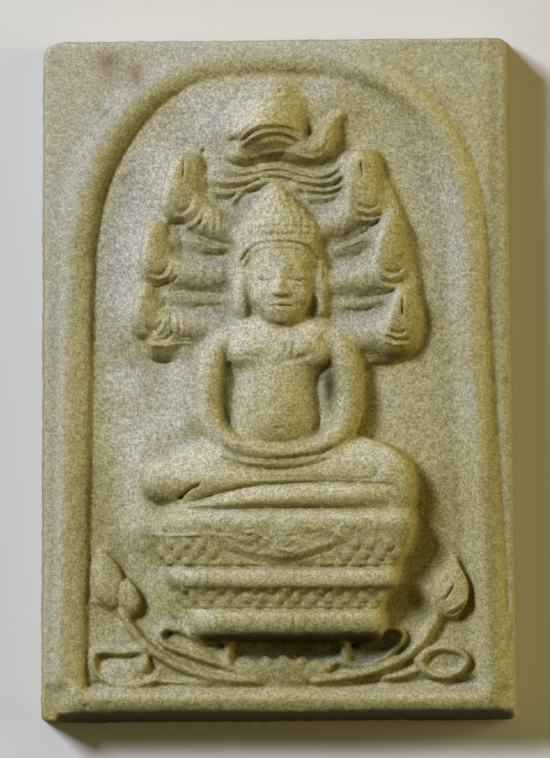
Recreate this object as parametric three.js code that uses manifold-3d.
// A pressed-powder votive tablet, lying on its back: a meditating figure on a coiled naga, under the
// naga's seven-headed hood, in an arched frame with a lotus spray at its foot. The whole tablet leaves
// its mould as one piece, so it is one solid. X runs across the tablet, Y up the picture, Z out of it.
import * as THREE from "three";
import { mergeVertices } from "three/addons/utils/BufferGeometryUtils.js";
import Module from "manifold-3d";

const wasm = await Module();
wasm.setup();

// Driving dimensions of the tablet, in millimetres.
const tabletHeight = 36;
const widthAtHead = 24.2;
const widthAtFoot = 25.2;
const headShift = -0.17; // the head of the tablet sits a little to the left of its foot
const slabThickness = 3.6; // back to the flat border
const sideDraft = 0.35; // each side leans in by this much on its way to the front
const cornerRadius = 0.4;
const edgeRound = 0.22; // softened front edge

// The arched frame: margins from the tablet's edges to the sunk field inside it.
const fieldDepth = 0.4; // border down to the floor of the field
const frameRise = 0.42; // border up to the frame's crest
const footMargin = 1.8;
const crownMargin = 1.65;
const leftMarginAtFoot = 2.4;
const leftMarginAtSpring = 2.85;
const rightMarginAtFoot = 2.05;
const rightMarginAtSpring = 3.1;
const springHeight = 25; // tablet's foot to where the legs turn into the arch
const crownShift = -0.5; // the arch's highest point lies left of the middle
const leftSquareness = 2.15; // exponents of the arch's two quarters; 2 is an ellipse
const rightSquareness = 2.6;

// The frame's own width, all round.
const bandAtCrown = 1.1;
const bandAtFoot = 1.8;
const leftBandAtFoot = 1.65;
const leftBandAtSpring = 1.4;
const rightBandAtFoot = 1.95;
const rightBandAtSpring = 1.8;

// The figure stands on the spray and stops short of the arch's crown.
const sprayHeight = 2.8;
const crownGap = 0.75;
const pocketDepth = 0.55; // the hollow behind the lotus, below the field's floor
const rootDepth = 0.8; // how far a form is rooted under the floor it stands on

// Worked out from the dimensions above.
const foot = -tabletHeight / 2;
const head = tabletHeight / 2;
const floor = slabThickness - fieldDepth;
const crest = slabThickness + frameRise;
const fieldFoot = foot + footMargin;
const spring = foot + springHeight;
const crown = head - crownMargin;
const figureHeight = crown - crownGap - fieldFoot - sprayHeight;
const figureFoot = fieldFoot + sprayHeight;
const figureUnit = figureHeight / 100; // the carving's proportions are hundredths of the figure's height

// The left (-1) or right (1) side of the tablet's back at height y.
function tabletSide(side, y) {
  const up = (y - foot) / tabletHeight;
  return up * headShift + (side * THREE.MathUtils.lerp(widthAtFoot, widthAtHead, up)) / 2;
}

// The geometry between rings of equal length, closed at both ends. A flat end is cut into triangles as a
// shape is; a round one meets in a point at its ring's centre.
function loft(rings, flatEnds = false) {
  const positions = [];
  const index = [];
  const count = rings[0].length;
  rings.flat().forEach((p) => positions.push(p.x, p.y, p.z));
  for (let r = 0; r + 1 < rings.length; r++) {
    for (let i = 0; i < count; i++) {
      const a = r * count + i;
      const b = r * count + ((i + 1) % count);
      index.push(a, b, a + count, b, b + count, a + count);
    }
  }
  const lastStart = (rings.length - 1) * count;
  if (flatEnds) {
    const flat = rings[0].map((p) => new THREE.Vector2(p.x, p.y));
    for (const [a, b, c] of THREE.ShapeUtils.triangulateShape(flat, [])) {
      index.push(a, c, b, lastStart + a, lastStart + b, lastStart + c);
    }
    if (THREE.ShapeUtils.isClockWise(flat)) {
      throw new Error("outlines run anticlockwise");
    }
  } else {
    for (const [ring, start] of [[rings[0], 0], [rings.at(-1), lastStart]]) {
      const middle = ring.reduce((sum, p) => sum.add(p), new THREE.Vector3()).divideScalar(count);
      const centre = positions.length / 3;
      positions.push(middle.x, middle.y, middle.z);
      for (let i = 0; i < count; i++) {
        const next = (i + 1) % count;
        if (start === 0) index.push(centre, next, i);
        else index.push(centre, start + i, start + next);
      }
    }
  }
  return new THREE.BufferGeometry()
    .setAttribute("position", new THREE.Float32BufferAttribute(positions, 3))
    .setIndex(index);
}

// A closed geometry as a solid, turned right side out if it was lofted the other way round.
function solidOf(geometry) {
  const bare = geometry.clone();
  bare.deleteAttribute("normal");
  bare.deleteAttribute("uv");
  const merged = mergeVertices(bare, 1e-4);
  const build = () =>
    new wasm.Manifold(
      new wasm.Mesh({
        numProp: 3,
        vertProperties: merged.attributes.position.array,
        triVerts: new Uint32Array(merged.index.array),
      }),
    );
  const made = build();
  if (made.volume() > 0) return made;
  const order = merged.index.array;
  for (let i = 0; i < order.length; i += 3) [order[i + 1], order[i + 2]] = [order[i + 2], order[i + 1]];
  return build();
}

// A tapering form through stations [x, y, z, half width, half depth], smoothed and rounded at its ends.
// Its width lies in the picture's plane. A ring of stations that closes on itself has no ends.
function limb(stations, { sides = 10, steps = 2, closed = false } = {}) {
  const path = new THREE.CatmullRomCurve3(stations.map(([x, y, z]) => new THREE.Vector3(x, y, z)), closed);
  const girths = new THREE.CatmullRomCurve3(
    stations.map(([, , , wide, deep]) => new THREE.Vector3(wide, deep, 0)),
    closed,
    "catmullrom",
    0.5,
  );
  const spans = (stations.length - (closed ? 0 : 1)) * steps;
  const ringAt = (t, shift, share) => {
    const centre = path.getPoint(t);
    const girth = girths.getPoint(t);
    const along = path.getTangent(t);
    const across = new THREE.Vector3(-along.y, along.x, 0).normalize();
    const out = new THREE.Vector3().crossVectors(along, across);
    centre.addScaledVector(along, shift * girth.x);
    return Array.from({ length: sides }, (_, i) => {
      const angle = (i / sides) * 2 * Math.PI;
      return centre
        .clone()
        .addScaledVector(across, share * girth.x * Math.cos(angle))
        .addScaledVector(out, share * girth.y * Math.sin(angle));
    });
  };
  const rings = [];
  for (let i = 0; i < spans + (closed ? 0 : 1); i++) rings.push(ringAt(i / spans, 0, 1));
  if (closed) return hoop(rings);
  const [endShift, endShare] = [0.65, 0.72];
  rings.unshift(ringAt(0, -endShift, endShare));
  rings.push(ringAt(1, endShift, endShare));
  return loft(rings);
}

// Rings joined nose to tail, such as a frame or a leaf's rim.
function hoop(rings) {
  const count = rings[0].length;
  const index = [];
  rings.forEach((_, r) => {
    const after = (r + 1) % rings.length;
    for (let i = 0; i < count; i++) {
      const next = (i + 1) % count;
      const [a, b, c, d] = [r * count + i, r * count + next, after * count + i, after * count + next];
      index.push(a, b, c, b, d, c);
    }
  });
  return new THREE.BufferGeometry()
    .setAttribute("position", new THREE.Float32BufferAttribute(rings.flat().flatMap((p) => [p.x, p.y, p.z]), 3))
    .setIndex(index);
}

// A form built up from its foot in level sections [y, middle x, half width, middle z, half depth].
// Squareness 2 gives round sections, and more gives flat fronts with rounded corners.
function stack(levels, { sides = 16, squareness = 2 } = {}) {
  const bend = (v) => Math.sign(v) * Math.abs(v) ** (2 / squareness);
  return loft(
    levels.map(([y, x, wide, z, deep]) =>
      Array.from({ length: sides }, (_, i) => {
        const angle = (i / sides) * 2 * Math.PI;
        return new THREE.Vector3(x + wide * bend(Math.cos(angle)), y, z + deep * bend(Math.sin(angle)));
      }),
    ),
  );
}

// An egg-shaped mass, turned in the picture's plane.
function mass([x, y, z], [wide, high, deep], turn = 0) {
  return new THREE.SphereGeometry(1, 12, 8)
    .rotateX(Math.PI / 2)
    .scale(wide, high, deep)
    .rotateZ(turn)
    .translate(x, y, z);
}

// The tablet's outline at a distance inside its back's edges, with its four corners rounded.
function tabletOutline(inset, z) {
  const cornerSteps = 3;
  const radius = Math.max(cornerRadius - inset / 2, cornerRadius / 4);
  const corners = [
    [1, foot + inset, 1, -Math.PI / 2],
    [1, head - inset, -1, 0],
    [-1, head - inset, -1, Math.PI / 2],
    [-1, foot + inset, 1, Math.PI],
  ];
  return corners.flatMap(([side, edge, inwards, from]) => {
    const y = edge + inwards * radius;
    const x = tabletSide(side, y) - side * (inset + radius);
    return Array.from({ length: cornerSteps + 1 }, (_, i) => {
      const angle = from + (i / cornerSteps) * (Math.PI / 2);
      return new THREE.Vector3(x + radius * Math.cos(angle), y + radius * Math.sin(angle), z);
    });
  });
}

// The slab with drafted sides. With no rounding it is the space that the frame may fill.
function slab(top, round) {
  const draftPerHeight = sideDraft / slabThickness;
  const rings = [tabletOutline(0, 0), tabletOutline(draftPerHeight * (top - round), top - round)];
  for (const share of [0.35, 1]) {
    if (round > 0) {
      const rise = Math.sqrt(1 - (1 - share) ** 2);
      rings.push(tabletOutline(draftPerHeight * top + round * share, top - round * (1 - rise)));
    }
  }
  return loft(rings, true);
}

// The frame's line at a share of its width: 1 is its outer edge and 0 the edge of the field.
function frameLine(share) {
  const legSteps = 5;
  const archSteps = 11;
  const footSteps = 4;
  const edge = (side, y, margin, band) => tabletSide(side, y) - side * (margin - share * band);
  const low = fieldFoot - share * bandAtFoot;
  const high = crown + share * bandAtCrown;
  const corner = {
    left: edge(-1, low, leftMarginAtFoot, leftBandAtFoot),
    right: edge(1, low, rightMarginAtFoot, rightBandAtFoot),
  };
  const haunch = {
    left: edge(-1, spring, leftMarginAtSpring, leftBandAtSpring),
    right: edge(1, spring, rightMarginAtSpring, rightBandAtSpring),
  };
  const points = [];
  for (let i = 0; i < footSteps; i++) {
    points.push([THREE.MathUtils.lerp(corner.left, corner.right, i / footSteps), low]);
  }
  for (let i = 0; i < legSteps; i++) {
    const up = i / legSteps;
    points.push([THREE.MathUtils.lerp(corner.right, haunch.right, up), THREE.MathUtils.lerp(low, spring, up)]);
  }
  for (const [reach, squareness, from] of [
    [haunch.right - crownShift, rightSquareness, 0],
    [haunch.left - crownShift, leftSquareness, 1],
  ]) {
    for (let i = 0; i < archSteps; i++) {
      const angle = ((from ? archSteps - i : i) / archSteps) * (Math.PI / 2);
      points.push([
        crownShift + reach * Math.cos(angle) ** (2 / squareness),
        spring + (high - spring) * Math.sin(angle) ** (2 / squareness),
      ]);
    }
  }
  for (let i = legSteps; i > 0; i--) {
    const up = i / legSteps;
    points.push([THREE.MathUtils.lerp(corner.left, haunch.left, up), THREE.MathUtils.lerp(low, spring, up)]);
  }
  return points;
}

// The frame: a rounded band that drops steeply to the field on the left and gently on the right.
function frame() {
  const gentle = [[1, -rootDepth], [0.98, 0], [0.8, 0.75], [0.58, 1], [0.4, 0.82], [0.15, 0.1], [0, -1]];
  const steep = [[1, -rootDepth], [0.98, 0], [0.84, 0.8], [0.62, 1], [0.3, 0.92], [0.12, 0.45], [0, -1]];
  const lines = gentle.map((_, k) => {
    const [a, b] = [frameLine(gentle[k][0]), frameLine(steep[k][0])];
    return a.map(([x, y], i) => {
      const towardsRight = THREE.MathUtils.smoothstep(x, -widthAtFoot / 4, widthAtFoot / 4);
      const height = THREE.MathUtils.lerp(steep[k][1], gentle[k][1], towardsRight);
      const z = height < 0 ? slabThickness + height * fieldDepth : slabThickness + height * frameRise;
      return new THREE.Vector3(
        THREE.MathUtils.lerp(b[i][0], x, towardsRight),
        THREE.MathUtils.lerp(b[i][1], y, towardsRight),
        k === 0 ? slabThickness - rootDepth : z,
      );
    });
  });
  const roots = [0, 1].map((share) => frameLine(share).map(([x, y]) => new THREE.Vector3(x, y, floor - rootDepth)));
  const rows = [...lines, roots[0], roots[1]];
  return hoop(rows[0].map((_, i) => rows.map((row) => row[i])));
}

// The sunk field inside the frame, as the solid that is cut away. Its wall stays under the frame.
function fieldCutter() {
  const underFrame = 0.3;
  const line = frameLine(underFrame);
  return loft([floor, crest + rootDepth].map((z) => line.map(([x, y]) => new THREE.Vector3(x, y, z))), true);
}

// The naga's coils: three stacked turns, each with a plain bar above and a scaly flank that falls back.
function coils() {
  const levels = [
    [-0.2, 0.6, 15.6, 0, 5.4], [0.6, 0.6, 17.6, 0, 7], [2.4, 0.6, 18.5, 0, 7.6], [4.4, 0.6, 18.3, 0, 7.2],
    [4.9, 0.5, 17.8, 0, 6.5], [7.2, 0.4, 19.4, 0, 7.1], [9.3, 0.3, 20.6, 0, 7.3], [9.8, 0.2, 21.6, 0, 8],
    [11.1, 0.2, 22, 0, 8.3], [12.3, 0.2, 21.8, 0, 8], [12.9, 0.2, 20.9, 0, 7], [15.4, 0.3, 23, 0, 7.9],
    [18.6, 0.3, 24.4, 0, 8.5], [20.6, 0.3, 24.5, 0, 8.6], [22, 0.3, 24.1, 0, 8.1], [22.8, 0.3, 22.5, 0, 6.5],
  ];
  return [stack(levels, { sides: 24, squareness: 5 })];
}

// The cloth that hangs over the top coil in a shallow point.
function apron() {
  const levels = [
    [13.7, -0.2, 0.8, 5, 2.5], [14.3, 0, 3.4, 5, 2.8], [15.2, 0.3, 6.4, 5, 3.1], [16.6, 0.6, 9.4, 5, 3.4],
    [18.2, 0.8, 11.6, 5, 3.6], [20, 1, 12.8, 5, 3.7], [22.4, 1, 13, 5, 3.5],
  ];
  return [stack(levels, { sides: 16, squareness: 4 })];
}

// Crossed legs: broad thighs, knees wide of the seat, and the near shin lying over the far one.
function legs() {
  return [
    mass([-19.9, 28.4, 1.2], [6, 6.3, 6.2]),
    mass([19.2, 28.2, 1.2], [6.4, 6.5, 6.5]),
    limb([[-5, 32.6, 2, 3.4, 4.6], [-12, 30.8, 2, 3.8, 5], [-19.4, 29, 1.6, 4.6, 5.6]]),
    limb([[5, 32.6, 2, 3.4, 4.6], [12, 30.8, 2, 3.6, 5], [18.6, 29, 1.6, 4.6, 5.8]]),
    limb([
      [-20.2, 27.6, 2.4, 4.9, 5.2], [-13, 27.5, 3, 4.2, 4.7], [-6, 28, 3.4, 3.3, 4.3],
      [3, 28.8, 3.8, 2.4, 3.8], [11, 29.2, 4, 1.8, 3.4], [16.8, 29.2, 4, 1.5, 3.1],
    ]),
    limb([
      [-17, 22.8, 3.4, 0.8, 2.9], [-11.5, 23.5, 3.8, 1.4, 3.4], [-5.3, 24.4, 4, 2, 3.7],
      [3.8, 25, 4.2, 2.4, 3.9], [12.9, 25.2, 3.6, 3.1, 4.1], [19, 26.2, 2.8, 4, 4.6],
    ]),
  ];
}

// The trunk: a narrow waist between a deep belly and a broad chest that carries the shoulders.
function trunk() {
  const levels = [
    [29.5, -0.4, 7.5, 1, 4.6], [33, -0.5, 8.4, 1, 5.4], [37, -0.6, 8.6, 1, 6], [41, -0.6, 8.4, 1, 5.9],
    [44, -0.5, 7.8, 1, 5.3], [46.4, -0.4, 7.4, 1, 4.8], [49, -0.3, 8.6, 1, 5], [51.4, -0.1, 10.8, 1, 5.1],
    [53.6, 0, 12.8, 1, 5], [55.6, 0.1, 12.9, 1, 4.6], [57, 0.1, 10.6, 1, 4], [58.1, 0.1, 5, 1, 3.4],
  ];
  return [stack(levels, { sides: 16, squareness: 2.5 })];
}

// Both arms, from the shoulder down and round into the lap, and the lower hand under the upper one.
function arms() {
  const arm = (side, wrist) => [
    [side * 10, 54.2, 1.2, 2.8, 3.6], [side * 12.2, 51.2, 1.6, 3.2, 4], [side * 12.7, 45.8, 1.8, 3, 4],
    [side * 12.6, 40.5, 2.2, 2.9, 3.9], [side * 11.4, 36.7, 3, 2.8, 3.7], [side * 8.2, 34.4, 4.2, 2.1, 3.3],
    [side * 3.8, 33.3, 4.9, 1.6, 3], [wrist, 33, 5.1, 1.2, 2.8],
  ];
  return [
    limb(arm(-1, 0.6), { sides: 8 }),
    limb(arm(1, 0), { sides: 8 }),
    limb([
      [-10.6, 33.4, 4, 1.3, 2.6], [-6.4, 31.6, 4.8, 1.3, 2.8], [-0.7, 31, 5.2, 1.3, 2.8],
      [4.7, 31.5, 4.9, 1.3, 2.8], [10.2, 33.2, 4, 1.3, 2.6],
    ], { sides: 8 }),
  ];
}

// The head: an oval face of plain proportions under a pointed cap of hair, and long ear lobes.
function headOfFigure() {
  const levels = [
    [56.2, 0.3, 1.4, 3.6, 2.2], [57, 0.3, 3, 3.4, 3.9], [58.8, 0.3, 4.5, 3.2, 4.6], [61.5, 0.3, 5.5, 3, 5],
    [65, 0.3, 6.1, 3, 5.2], [68.5, 0.3, 6.4, 3, 5.2], [70.6, 0.1, 6.6, 3, 5.1], [71.2, -0.1, 8.4, 2.4, 5.6],
    [72.8, -0.2, 8.4, 2.2, 5.6], [74.8, -0.3, 7.3, 2, 5.2], [77, -0.5, 5.4, 1.9, 4.6], [79.1, -0.7, 3.5, 1.7, 4],
    [80.9, -0.7, 1.8, 1.5, 3.2], [82.1, -0.7, 0.7, 1.4, 2.5],
  ];
  const feature = (stations) => limb(stations, { sides: 6, steps: 1 });
  const each = (make) => [-1, 1].map(make);
  const ears = each((side) => limb([
    [0.1 + side * 7.3, 69.6, 1.6, 1, 2.2], [0.1 + side * 7.9, 66.4, 1.8, 1.4, 2.8],
    [0.1 + side * 7.9, 62, 1.6, 1, 2.6], [0.1 + side * 7.8, 58.6, 1.6, 1.1, 2.6],
  ], { sides: 6, steps: 1 }));
  const brows = each((side) => feature([
    [0.3 + side * 1, 67.2, 7.6, 0.4, 0.8], [0.3 + side * 2.8, 67.9, 7.1, 0.45, 0.8], [0.3 + side * 4.8, 66.9, 5.7, 0.4, 0.8],
  ]));
  return [
    stack(levels, { sides: 14 }),
    mass([0.2, 60.8, 1.2], [6.9, 5.4, 3.2]),
    mass([0.2, 56.6, 1.2], [4.8, 2.4, 4.4]),
    ...ears,
    ...brows,
    ...each((side) => mass([0.3 + side * 2.75, 65, 6.6], [1.75, 0.85, 1.2])),
    feature([[0.3, 66.8, 7.7, 0.5, 0.8], [0.3, 64.2, 8, 0.6, 1.1], [0.3, 62.2, 8, 1.2, 1.5]]),
    feature([[-1.4, 60, 7, 0.3, 0.9], [0.3, 60.1, 7.5, 0.45, 1.1], [2, 60, 7, 0.3, 0.9]]),
    feature([[-1, 59.1, 7, 0.35, 0.9], [0.3, 59, 7.3, 0.5, 1.1], [1.6, 59.1, 7, 0.35, 0.9]]),
    feature([[-7, 71.2, 4, 0.7, 1.6], [-3.6, 71.5, 6.6, 0.7, 1.4], [0, 71.6, 7.3, 0.7, 1.4], [3.6, 71.5, 6.6, 0.7, 1.4],
      [7, 71.2, 4, 0.7, 1.6]]),
  ];
}

// The plate of the hood that carries the necks and heads.
function hoodPlate() {
  const outline = [
    [12, 88.6], [17.6, 87.4], [20.7, 83.6], [22.2, 80.4], [23.6, 76.4], [25.2, 71.6], [26, 66], [27, 60],
    [27, 55.6], [25.4, 51.6], [21.2, 49], [16.4, 49.6], [12, 51.5], [0, 52], [-12, 51.5], [-16, 50],
    [-19.4, 49.2], [-23.6, 50.8], [-26.2, 54.6], [-26.5, 60], [-25.4, 66.6], [-24.4, 72.4], [-22.4, 78],
    [-20.2, 83], [-17.6, 86.6], [-13.4, 88.2], [-10.6, 92], [-6, 97], [0.4, 99.4], [5, 97], [7.6, 92],
  ];
  const smooth = new THREE.CatmullRomCurve3(outline.map(([x, y]) => new THREE.Vector3(x, y, 0)), true);
  const points = smooth.getPoints(46).slice(0, -1);
  const middle = new THREE.Vector3(0, 72, 0);
  const ring = (z, share) => points.map((p) => p.clone().sub(middle).multiplyScalar(share).add(middle).setZ(z));
  const rootInUnits = -rootDepth / figureUnit;
  const rings = [ring(rootInUnits, 1.005), ring(0, 1), ring(1.2, 0.992), ring(1.8, 0.972)];
  return [loft(THREE.ShapeUtils.isClockWise(points) ? rings.map((r) => r.toReversed()) : rings, true)];
}

// The six side heads, each on a neck that leaves the figure's own head and turns up into its snout.
function sideHeads() {
  const heads = [
    [[6.6, 73.6, 0.8, 2.8, 2.8], [11, 75.6, 1.2, 3.3, 3], [14.6, 77.8, 1.6, 4.3, 3.3],
      [16.5, 81, 1.8, 4.5, 3.4], [16.2, 84.4, 1.6, 3.5, 3.2], [15.8, 86.4, 1.4, 2.7, 2.9]],
    [[8, 64, 0.8, 3, 2.8], [13, 64.6, 1.2, 3.4, 3.1], [18, 65.8, 1.6, 4, 3.4],
      [20.6, 68.6, 1.8, 4.1, 3.5], [20.6, 72, 1.6, 3.3, 3.3], [20.8, 74, 1.4, 2.4, 2.9]],
    [[11, 55, 0.8, 2.8, 2.8], [15.6, 54.6, 1.2, 3.4, 3.1], [20.2, 54.4, 1.6, 4.4, 3.4],
      [22.6, 56.8, 1.8, 4.2, 3.5], [22.8, 60, 1.6, 3.1, 3.3], [22.9, 61.6, 1.4, 2.4, 2.9]],
    [[-7, 72.4, 0.8, 2.6, 2.6], [-11.4, 74.4, 1.2, 2.9, 2.9], [-15.2, 76.9, 1.6, 3.5, 3.2],
      [-17.4, 80, 1.8, 3.9, 3.4], [-16.5, 84, 1.6, 3.1, 3.2], [-16, 85.8, 1.4, 2.4, 2.9]],
    [[-8, 65.2, 0.8, 2.6, 2.6], [-13.6, 65.4, 1.2, 2.9, 2.9], [-18.6, 65.6, 1.6, 3.3, 3.2],
      [-21.1, 67.8, 1.8, 3.4, 3.4], [-21.3, 71.2, 1.6, 2.7, 3.2], [-21.3, 72.8, 1.4, 2.3, 2.9]],
    [[-10, 55.8, 0.8, 2.4, 2.6], [-15.6, 56, 1.2, 2.8, 2.9], [-20.4, 55.4, 1.6, 3.5, 3.2],
      [-22.8, 57.4, 1.8, 3.5, 3.4], [-23.3, 60.6, 1.6, 2.6, 3.2], [-23.4, 62, 1.4, 2.2, 2.9]],
  ];
  return heads.map((stations) => limb(stations, { sides: 8 }));
}

// The middle head, seen from the front: a domed brow with two folds, a rolled jaw that curls up on the
// right, and the ridged throat below it.
function middleHead() {
  const fold = (stations) => limb(stations, { sides: 5, steps: 2 });
  const throat = [0, 1, 2, 3].map((k) => {
    const drop = 1.4 * k;
    return fold([
      [-13.4, 85.4 - drop, 1.1, 0.6, 1.5], [-8.6, 83.5 - drop, 1.2, 0.65, 1.7], [-1, 85 - drop, 1.2, 0.65, 1.7],
      [7.4, 83.4 - drop, 1.2, 0.65, 1.7], [12, 85.8 - drop, 1.1, 0.6, 1.5],
    ]);
  });
  return [
    mass([-3.6, 93.2, 0.2], [7.6, 5.8, 4.7]),
    mass([0.9, 94.3, 0.4], [4.6, 5.4, 5.5]),
    mass([0.3, 98.6, 0.4], [2, 1.6, 3.4]),
    fold([[-9.4, 90, 4, 0.5, 1], [-7, 90.5, 4.4, 0.6, 1.1], [-5.4, 92, 4.8, 0.6, 1.1], [-3.2, 92.9, 5, 0.4, 0.9]]),
    fold([[-7.6, 89, 4.4, 0.5, 1], [-4.6, 90.4, 4.9, 0.6, 1.2], [-1.2, 91.3, 5, 0.6, 1.2], [1.6, 90.4, 5, 0.4, 1]]),
    limb([
      [-9.6, 87.6, 1.6, 1.6, 3], [-6.4, 87.6, 2, 2.6, 3.7], [-1.6, 88.7, 2.2, 2.8, 3.9], [3, 87.8, 2, 2.8, 3.9],
      [7, 87.5, 1.8, 2.9, 3.8], [9, 89.6, 1.6, 2.6, 3.6], [9.4, 92.4, 1.4, 2, 3.2], [11.2, 94.6, 1.2, 1.1, 2.4],
    ]),
    ...throat,
  ];
}

// The lotus spray: an open flower, and on each side a stem with its bud, a folded leaf and a low leaf.
function spray() {
  const thin = (points, wide, rise, closed) =>
    limb(points.map(([x, y]) => [x, y, 0, wide, rise]), { sides: 6, steps: closed ? 1 : 2, closed });
  const rim = (points, closed) => thin(points, 0.75, 1.5, closed);
  const petal = (points) => limb(points.map(([x, y, wide, rise]) => [x, y, 0, wide, rise]), { sides: 6, steps: 1 });
  const flowerTips = [[-6.6, -4.9], [-3.9, -3.9], [-1.1, -3.4], [1.9, -3.2], [4.8, -3.5], [7.7, -4.1], [10.6, -5]];
  return [
    thin([[-28.5, 3], [-24.6, -1.8], [-19, -5.2], [-12, -7.7], [-4, -8.6]], 0.9, 1.9),
    thin([[28.9, 3.2], [25.2, -2], [19.6, -5.3], [13.4, -7.4], [7.2, -8.4]], 0.95, 2),
    rim([[-14.6, -1.2], [-19.4, 1.5], [-21.8, 0.4], [-18.2, -3.5], [-12, -5.8], [-6.4, -6.8]]),
    rim([[17.8, 0.9], [22.4, 1.1], [21.6, -2.1], [15.4, -5.4], [12, -4.6], [11.2, 0.4]]),
    rim([
      [-33, -2.9], [-33.4, -5.4], [-31.7, -8.3], [-27.6, -8.9], [-24.3, -8.2], [-23.7, -5.4], [-24.2, -2.7], [-28.6, -3.1],
    ], true),
    mass([-28.2, -6.6, 0], [4.8, 2, 1.3]),
    rim([[24.6, -5], [26, -2.6], [29.4, -1.7], [33.8, -2.9], [34.8, -5], [31.8, -7.6], [27.4, -8.1]], true),
    thin([[-23.6, -8.6], [-21.4, -8.2], [-10.6, -8.6]], 0.6, 1.2),
    thin([[17.4, -7.7], [21.1, -7.4], [25, -6.7]], 0.7, 1.3),
    petal([[-28.8, 3.4, 0.9, 1.8], [-30.1, 6, 3, 2.6], [-31.2, 9.4, 2.7, 2.4], [-31.9, 12.8, 1.5, 1.8], [-32.2, 15.2, 0.4, 1]]),
    petal([[-28, 3.6, 0.8, 1.8], [-26.4, 5.8, 1.6, 2.5], [-26.8, 8.2, 1.2, 2.1], [-27.7, 10.2, 0.4, 1.2]]),
    petal([[28.9, 3.4, 0.9, 1.8], [30, 6.2, 3.4, 2.7], [31.1, 9.2, 2.6, 2.5], [31.6, 11.8, 1.4, 1.8], [31.8, 14, 0.4, 1]]),
    petal([[30.2, 3.4, 0.9, 2], [32.8, 4.6, 1.3, 2.5], [34, 6.8, 0.7, 1.8]]),
    mass([1.4, -6.6, 0], [5, 2.1, 1.7]),
    ...flowerTips.map(([x, y]) => petal([
      [1.5 + x * 0.2, -8.2, 0.9, 1.7],
      [1.3 + x * 0.62, (y - 8.2) / 2 - 0.5, 1.5, 2.3],
      [x, y, 0.6, 1.7],
    ])),
    thin([[-8.9, 0.8], [-8.9, -4.4]], 0.5, 2),
    thin([[11.5, 0.8], [11.5, -4.6]], 0.6, 2),
  ];
}

// The hollow behind the flower, under the overhang of the coils.
function pocketCutter() {
  const deep = pocketDepth / figureUnit;
  return limb([[-12, -2, 0, 2.2, deep], [-4, -2.3, 0, 2.7, deep], [8, -2.3, 0, 2.7, deep], [19, -1.8, 0, 2.3, deep]]);
}

// Carving stated in hundredths of the figure's height, brought to its size and place on the field's floor.
function onField(geometries) {
  return geometries.map((geometry) =>
    solidOf(geometry.scale(figureUnit, figureUnit, figureUnit).translate(0, figureFoot, floor)),
  );
}

let tablet = solidOf(slab(slabThickness, edgeRound)).subtract(solidOf(fieldCutter()));
const [pocket] = onField([pocketCutter()]);
tablet = tablet.subtract(pocket);
const envelope = solidOf(slab(crest + rootDepth, 0));
tablet = tablet.add(solidOf(frame()).intersect(envelope));
const carving = [
  hoodPlate, middleHead, sideHeads, coils, apron, legs, trunk, arms, headOfFigure, spray,
].flatMap((make) => onField(make()));
tablet = carving.reduce((whole, form) => whole.add(form), tablet);

// The powder is pressed solid, so a space that overlapping forms close in between them is filled.
const pressing = tablet.decompose().reduce((largest, body) => (body.volume() > largest.volume() ? body : largest));

const { vertProperties, triVerts } = pressing.getMesh();
const geometry = new THREE.BufferGeometry()
  .setAttribute("position", new THREE.BufferAttribute(vertProperties, 3))
  .setIndex(new THREE.BufferAttribute(triVerts, 1));
geometry.computeVertexNormals();

const pressedPowder = new THREE.MeshStandardMaterial({ color: 0xb5ad86, roughness: 0.9, metalness: 0 });
const mesh = new THREE.Mesh(geometry, pressedPowder);
mesh.name = "naga_buddha_tablet";

const group = new THREE.Group();
group.add(mesh);
export default group;
